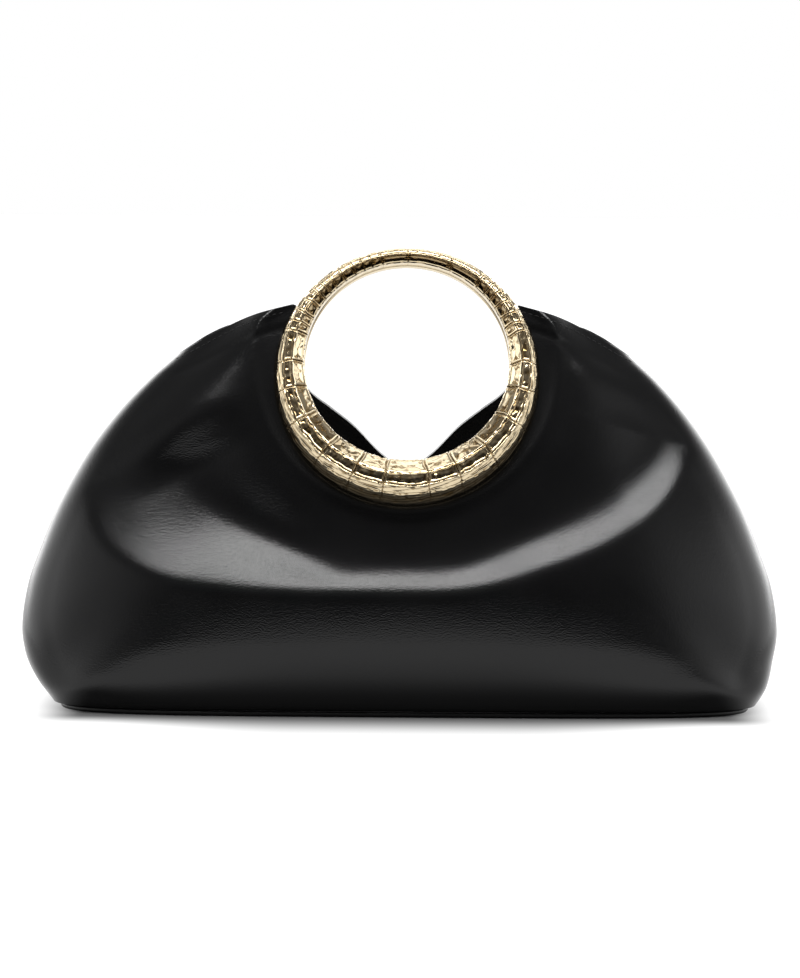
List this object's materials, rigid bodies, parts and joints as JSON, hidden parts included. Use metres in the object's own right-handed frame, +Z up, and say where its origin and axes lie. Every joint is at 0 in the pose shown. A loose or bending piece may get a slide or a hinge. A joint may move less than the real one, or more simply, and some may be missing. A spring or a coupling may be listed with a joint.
{
  "type": "clutch bag",
  "caption": "Half-moon clutch bag of puffed smooth leather on a flat base, with a cast metal ring handle in scale relief set in the front panel and an open mouth.",
  "frame": {"origin": "on the floor under the middle of the base", "axes": "+X to the right along the bag, +Y from the front panel with the ring to the back panel, +Z up"},
  "size_m": [0.3, 0.1116, 0.1814],
  "materials": {
    "leather": "smooth black calf leather with a soft shine",
    "pale_gold": "polished pale gold plating"
  },
  "bodies": {
    "root": {"base_panel": "leather", "front_panel": "leather", "back_panel": "leather", "ring_handle": "pale_gold", "ring_backing": "pale_gold"}
  },
  "joints": []
}
